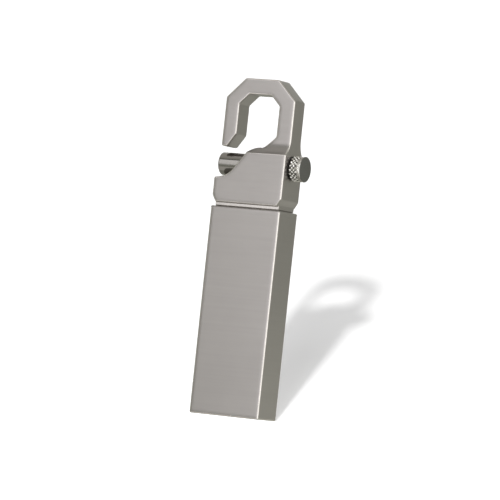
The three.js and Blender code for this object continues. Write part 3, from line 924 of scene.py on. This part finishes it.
class FLASHDRIVE_OT_knob(bpy.types.Operator):
    """Make the knurled pull knob with its turned end face"""
    bl_idname = "flashdrive.knob"
    bl_label = "Pull knob"

    def execute(self, context):
        drive = context.scene.flash_drive
        sizes = drive.knob
        metal = drive.metal
        knurl = knurled_nickel("knob_knurl", metal.knurl_sheen_colour, sizes.knurl_height, sizes.knurl_wear)
        end = turned_end("knob_end", metal.knob_end_colour)
        root = KNOB_RADIUS - sizes.knurl_height
        sunk = 0.035 * MM
        margin = 0.05 * MM
        studs = grown_piece("knurled_knob", knurl_tree(), {
            "Around": sizes.knurls_around, "Rows": sizes.knurl_rows, "Radius": root - sunk,
            "Height": sizes.knurl_height, "Flat": sizes.knurl_flat,
            "Start": KNOB_LOW.x + margin, "End": KNOB_HIGH.x - sizes.rim_band * 0.8,
            "Axis": GATE_AXIS, "Tilt": sizes.knurl_tilt, "Seed": KNURL_SEED}, knurl)
        set_slots(studs.data, [knurl, end])
        shape = bmesh.new()
        shape.from_mesh(studs.data)
        for face in shape.faces:
            face.smooth = False
            face.material_index = 0
        shape.from_mesh(turned_mesh("knob_drum", self.drum_profile(sizes, root), KNOB_SIDES, GATE_AXIS))
        shape.to_mesh(studs.data)
        shape.free()
        stand_for(studs, "knurled_nickel", "pull_knob")
        return {"FINISHED"}

    def drum_profile(self, sizes, root):
        """The drum under the knurl, with a blind hole for the stem and a plain band beside its end face."""
        low, high = KNOB_LOW.x, KNOB_HIGH.x
        hole_end = PIN_HIGH.x
        hole = 1.05 * MM
        # The narrower collar beside the head lies below the knurl's groove span, so it takes the painted
        # shade too: a dark ring against the head.
        collar = root - 0.12 * MM
        collar_end = low + 0.22 * MM
        rim = KNOB_RADIUS - sizes.rim_chamfer
        return [
            (hole_end, 0, 1),
            (hole_end, hole, 1),
            (low, hole, 1),
            (low, collar, 0),
            (collar_end, collar, 0),
            (collar_end, root, 0),
            (high - sizes.rim_band, root, 0),
            (high - sizes.rim_band * 0.9, rim - sizes.rim_chamfer, 0),
            (high - sizes.rim_band * 0.75, KNOB_RADIUS, 0),
            (high - sizes.rim_chamfer, KNOB_RADIUS, 1),
            (high, rim, 1),
            (high, rim * 0.5, 1),
            (high, 0, 1),
        ]


class FLASHDRIVE_OT_spring(bpy.types.Operator):
    """Make the round-wire spring, which rides on the drive"""
    bl_idname = "flashdrive.spring"
    bl_label = "Gate spring"

    def execute(self, context):
        drive = context.scene.flash_drive
        sizes = drive.spring
        wire = drawn_wire("spring_wire", drive.metal.spring_colour)
        coil_radius = (SPRING_HIGH.z - SPRING_LOW.z - sizes.wire) / 2
        spring = grown_piece("coil_spring", spring_tree(), {
            "Start": SPRING_LOW.x + sizes.wire / 2, "End": SPRING_HIGH.x - sizes.wire / 2,
            "Radius": coil_radius, "Wire": sizes.wire, "Turns": sizes.turns, "End turns": sizes.end_turns,
            "Closed pitch": sizes.closed_pitch, "Steps": int(sizes.turns * WIRE_STEPS_PER_TURN),
            "Axis": GATE_AXIS}, wire)
        spring.data.shade_smooth()
        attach(spring, "drive")
        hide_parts("plunger_spring")
        rest_length = SPRING_SEAT - SPRING_LOW.x
        (rest_length - GATE_TRAVEL) / rest_length
        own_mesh(spring)
        return {"FINISHED"}


class FLASHDRIVE_OT_plug(bpy.types.Operator):
    """Finish the plug: its steel shell, its insulator and its contacts"""
    bl_idname = "flashdrive.plug"
    bl_label = "Plug"

    def execute(self, context):
        drive = context.scene.flash_drive
        small = drive.edges.small_edge
        sheet = plug_sheet("plug_sheet", drive.metal.plug_colour)
        dressed("usb_plug_shell", "plug_sleeve", "plug_steel", small, [sheet])
        tongue = moulded_plastic("tongue_resin", drive.moulded.tongue_colour, roughness=0.42, texture=5200)
        dressed("plug_insulator", "plug_tongue", "tongue_plastic", small, [tongue])
        gold = contact_gold("gold_flash", drive.metal.gold_colour)
        for node in frame["nodes"]:
            if node.startswith("contact_"):
                dressed(node, node.replace("contact_", "strip_"), "contact_gold", small, [gold])
        return {"FINISHED"}


class FLASHDRIVE_OT_carrier(bpy.types.Operator):
    """Finish the two moulded halves that hold plug and board"""
    bl_idname = "flashdrive.carrier"
    bl_label = "Carrier"

    def execute(self, context):
        drive = context.scene.flash_drive
        plastic = moulded_plastic("carrier_plastic", drive.moulded.plastic_colour, roughness=0.48,
                                  texture=4200)
        for side in ("front", "rear"):
            dressed("carrier_" + side, "carrier_half_" + side, "black_plastic", drive.edges.moulded_edge,
                    [plastic])
        return {"FINISHED"}


class FLASHDRIVE_OT_board(bpy.types.Operator):
    """Finish the circuit board and what is soldered to it"""
    bl_idname = "flashdrive.board"
    bl_label = "Board"

    def execute(self, context):
        drive = context.scene.flash_drive
        moulded = drive.moulded
        small = drive.edges.small_edge
        mask = solder_mask("solder_mask", moulded.mask_colour)
        dressed("circuit_board", "masked_board", "board_green", small, [mask], segments=1)
        epoxy = moulded_plastic("moulded_epoxy", moulded.chip_colour, roughness=0.55, texture=6000)
        for node in ("controller_chip", "flash_memory_chip", "voltage_regulator"):
            dressed(node, node + "_body", "chip_epoxy", small, [epoxy])
        lid = plug_sheet("crystal_lid", drive.metal.plug_colour)
        dressed("crystal_can", "crystal_lid", "crystal_steel", small * 3, [lid], segments=3)
        chip_parts = {"capacitor_": ("ceramic_tan", moulded.ceramic_colour),
                      "resistor_": ("resistor_black", moulded.chip_colour)}
        for prefix, (slot, colour) in chip_parts.items():
            for node in sorted(name for name in frame["nodes"] if name.startswith(prefix)):
                low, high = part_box(node)
                along = 0 if high.x - low.x > high.z - low.z else 2
                finish = end_capped(node + "_finish", colour, node, along)
                dressed(node, node + "_body", slot, small, [finish])
        return {"FINISHED"}


# Stage

def seen_directly(tree):
    """1 for rays of the camera, of reflections and of clear things, and 0 for other light."""
    path = tree.nodes.new("ShaderNodeLightPath").outputs
    camera, glossy, clear = (Value(tree, path[kind + " Ray"])
                             for kind in ("Is Camera", "Is Glossy", "Is Transmission"))
    return maths("MAXIMUM", maths("MAXIMUM", camera, glossy), clear)


def sweep_material(glow):
    """White paper, clear from behind, that glows to white for the camera and keeps the shadow.

    It glows a little more where it is low, and most in the last half millimetre of its rise from the floor.
    """
    material, tree = bare_material("sweep_paper")
    height = split(tree, place(tree))[2]
    low_glow = remap(tree, height, 0.0, 14 * MM, glow + 0.12, glow)
    floor_glow = remap(tree, height, 0.0, 0.4 * MM, 0.6, 0.0)
    strength = seen_directly(tree) * maths("MAXIMUM", low_glow, floor_glow)
    paper = add_node(tree, "ShaderNodeBsdfDiffuse", Color=(0.8, 0.8, 0.8))
    light = add_node(tree, "ShaderNodeEmission", Color=(1, 1, 1), Strength=strength)
    both = tree.nodes.new("ShaderNodeAddShader")
    tree.links.new(paper.outputs[0], both.inputs[0])
    tree.links.new(light.outputs[0], both.inputs[1])
    behind = tree.nodes.new("ShaderNodeNewGeometry").outputs["Backfacing"]
    clear = tree.nodes.new("ShaderNodeBsdfTransparent").outputs[0]
    sides = tree.nodes.new("ShaderNodeMixShader")
    for socket, value in zip(sides.inputs, (behind, both.outputs[0], clear)):
        tree.links.new(value, socket)
    tree.links.new(sides.outputs[0], tree.nodes["Material Output"].inputs["Surface"])
    return material


def glowing(name, colour, top=None):
    """A stage surface that metal sees in one colour, or in two that blend 41 to 57 degrees above AIM."""
    material, tree = bare_material(name)
    material.cycles.emission_sampling = "NONE"
    light = add_node(tree, "ShaderNodeEmission", Color=colour)
    if top:
        height = split(tree, unit(tree, place(tree, centre=AIM)))[2]
        overhead = remap(tree, height, 0.66, 0.84, 0.0, 1.0)
        tree.links.new(mixed(tree, overhead, colour, top), light.inputs["Color"])
    tree.links.new(light.outputs[0], tree.nodes["Material Output"].inputs["Surface"])
    return material


def direction(azimuth, elevation):
    """A unit vector from the drive. Azimuth 0 is the front and 90 the knob's side, both in degrees."""
    turn, rise = math.radians(azimuth), math.radians(elevation)
    return Vector((math.sin(turn) * math.cos(rise), -math.cos(turn) * math.cos(rise), math.sin(rise)))


def facing(azimuth, elevation, lean):
    """The turn of a flat thing that faces the drive and leans to its left by some degrees."""
    return direction(azimuth, elevation).to_track_quat("Z", "Y") @ Quaternion((0, 0, 1), math.radians(lean))


def add_reflected(name, shape, material):
    """A stage object that only glossy rays see."""
    piece = link_piece(name, mesh_from(shape, name), [material])
    for ray in ("camera", "diffuse", "transmission", "volume_scatter", "shadow"):
        setattr(piece, "visible_" + ray, False)


def add_card(name, colour, azimuth, elevation, distance, width, height, lean=0):
    """A flat card that only metal sees."""
    middle = Matrix.Translation(AIM + direction(azimuth, elevation) * distance)
    turned = facing(azimuth, elevation, lean).to_matrix().to_4x4()
    shape = bmesh.new()
    bmesh.ops.create_grid(shape, x_segments=1, y_segments=1, size=0.5,
                          matrix=middle @ turned @ Matrix.Diagonal((width, height, 1, 1)))
    add_reflected(name, shape, glowing(name + "_face", colour))


def add_softbox(name, brightness, azimuth, elevation, distance, width, height, lean=0):
    """A rectangular lamp that faces the drive, whose brightness is the white that metal sees in it."""
    lamp = bpy.data.lights.new(name, "AREA")
    lamp.shape = "RECTANGLE"
    lamp.size = width
    lamp.size_y = height
    lamp.energy = brightness * math.pi * width * height
    box = link_object(name, lamp)
    box.location = AIM + direction(azimuth, elevation) * distance
    box.rotation_mode = "QUATERNION"
    box.rotation_quaternion = facing(azimuth, elevation, lean)
    box.visible_camera = False


class FLASHDRIVE_OT_stage(bpy.types.Operator):
    """Set the stage: the white sweep, the tent and lamps that the metal reflects, and the camera"""
    bl_idname = "flashdrive.stage"
    bl_label = "Stage, lamps and camera"

    def execute(self, context):
        scene = context.scene
        studio = scene.flash_drive.studio
        self.add_sweep(studio)
        self.add_tent(studio)
        self.add_lamps(studio)
        self.add_world(scene, studio)
        self.add_camera(scene, studio)
        scene.view_settings.view_transform = "Standard"
        return {"FINISHED"}

    def add_sweep(self, studio):
        """The floor, which rises behind the drive as the backdrop."""
        rise = math.tan(studio.backdrop_slope) * SWEEP_REACH
        line = [(-2 * SWEEP_REACH, 0), (SWEEP_FOOT, 0), (SWEEP_FOOT + SWEEP_REACH, rise)]
        shape = bmesh.new()
        left, right = ([shape.verts.new((x, y, z)) for y, z in line] for x in (-SWEEP_REACH, SWEEP_REACH))
        for i in range(len(line) - 1):
            shape.faces.new((left[i], right[i], right[i + 1], left[i + 1]))
        sweep = link_piece("sweep", mesh_from(shape, "sweep"), [sweep_material(studio.sweep_glow)])
        sweep.visible_glossy = False

    def add_tent(self, studio):
        """The light tent round the drive, and the cards in it that shape the reflections."""
        shape = bmesh.new()
        bmesh.ops.create_uvsphere(shape, u_segments=48, v_segments=24, radius=TENT_RADIUS,
                                  matrix=Matrix.Translation(AIM))
        add_reflected("tent", shape, glowing("tent_cloth", studio.tent_grey, studio.tent_top))
        add_card("front_hood", (0.02, 0.02, 0.02), azimuth=-8, elevation=14.5, distance=0.31,
                 width=0.29, height=0.385, lean=10)
        add_card("floor_card", (0.74, 0.73, 0.68), azimuth=-20, elevation=-48, distance=0.35,
                 width=0.55, height=0.24)
        add_card("low_card", studio.card_grey, azimuth=150, elevation=-24, distance=0.15,
                 width=0.13, height=0.10)
        add_card("back_card", (0.95, 0.95, 0.92), azimuth=207, elevation=26, distance=0.40,
                 width=0.25, height=0.30)

    def add_lamps(self, studio):
        """The key lamp, which casts the shadow, and two softboxes."""
        key = bpy.data.lights.new("key", "SUN")
        key.energy = studio.key_strength
        key.angle = studio.key_size
        lamp = link_object("key", key)
        lamp.rotation_mode = "QUATERNION"
        lamp.rotation_quaternion = (-KEY_TRAVEL).to_track_quat("Z", "Y")
        lamp.visible_glossy = False
        add_softbox("front_softbox", studio.front_strength, azimuth=-8, elevation=12.5, distance=0.30,
                    width=0.27, height=0.32, lean=10)
        add_softbox("side_softbox", studio.side_strength, azimuth=75, elevation=8, distance=0.40,
                    width=0.80, height=0.36)

    def add_world(self, scene, studio):
        """An even white room, plain white wherever it is seen directly."""
        world = bpy.data.worlds.new("studio_room")
        world.use_nodes = True
        tree = world.node_tree
        background = tree.nodes["Background"]
        feed(tree, background.inputs["Color"], (1, 1, 1))
        level = remap(tree, seen_directly(tree), 0.0, 1.0, studio.room_strength, 1.0)
        feed(tree, background.inputs["Strength"], level)
        scene.world = world

    def add_camera(self, scene, studio):
        """The camera, rolled, with AIM a little right of and above the middle of its picture."""
        azimuth, elevation, roll = studio.camera_azimuth, studio.camera_elevation, studio.camera_roll
        back = direction(math.degrees(azimuth), math.degrees(elevation))
        level_right = Vector((math.cos(azimuth), math.sin(azimuth), 0))
        level_up = back.cross(level_right)
        right = math.cos(roll) * level_right + math.sin(roll) * level_up
        up = -math.sin(roll) * level_right + math.cos(roll) * level_up
        data = bpy.data.cameras.new("camera")
        data.sensor_width = 36
        data.lens = FOCAL_PIXELS / PICTURE_PIXELS * data.sensor_width
        data.clip_start = 0.05
        data.clip_end = 20
        camera = link_object("camera", data)
        spot = AIM + back * studio.camera_distance - right * AIM_RIGHT - up * AIM_UP
        camera.matrix_world = Matrix.Translation(spot) @ Matrix((right, up, back)).transposed().to_4x4()
        scene.camera = camera


class FLASHDRIVE_PT_panel(bpy.types.Panel):
    """Lists the pieces of the flash drive and its stage"""
    bl_idname = "FLASHDRIVE_PT_panel"
    bl_label = "Flash Drive"
    bl_space_type = "VIEW_3D"
    bl_region_type = "UI"
    bl_category = "Flash Drive"

    def draw(self, context):
        drive = context.scene.flash_drive
        for group in (drive.metal, drive.moulded, drive.edges, drive.knob, drive.spring, drive.studio):
            box = self.layout.box()
            for label in group.__annotations__:
                box.prop(group, label)
        for operator in OPERATORS:
            self.layout.operator(operator.bl_idname)


GROUPS = (MetalFinish, MouldedFinish, EdgeSizes, KnobSizes, SpringSizes, StudioSettings, FlashDriveSettings)
OPERATORS = (
    FLASHDRIVE_OT_cap,
    FLASHDRIVE_OT_head,
    FLASHDRIVE_OT_pin,
    FLASHDRIVE_OT_knob,
    FLASHDRIVE_OT_spring,
    FLASHDRIVE_OT_plug,
    FLASHDRIVE_OT_carrier,
    FLASHDRIVE_OT_board,
    FLASHDRIVE_OT_stage,
)


def register():
    for each in (*GROUPS, *OPERATORS, FLASHDRIVE_PT_panel):
        bpy.utils.register_class(each)
    bpy.types.Scene.flash_drive = bpy.props.PointerProperty(type=FlashDriveSettings)


def unregister():
    del bpy.types.Scene.flash_drive
    for each in reversed((*GROUPS, *OPERATORS, FLASHDRIVE_PT_panel)):
        bpy.utils.unregister_class(each)


def main():
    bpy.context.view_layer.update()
    register()
    bpy.ops.flashdrive.cap()
    bpy.ops.flashdrive.head()
    bpy.ops.flashdrive.pin()
    bpy.ops.flashdrive.knob()
    bpy.ops.flashdrive.spring()
    bpy.ops.flashdrive.plug()
    bpy.ops.flashdrive.carrier()
    bpy.ops.flashdrive.board()
    bpy.ops.flashdrive.stage()


if __name__ == "__main__":
    main()
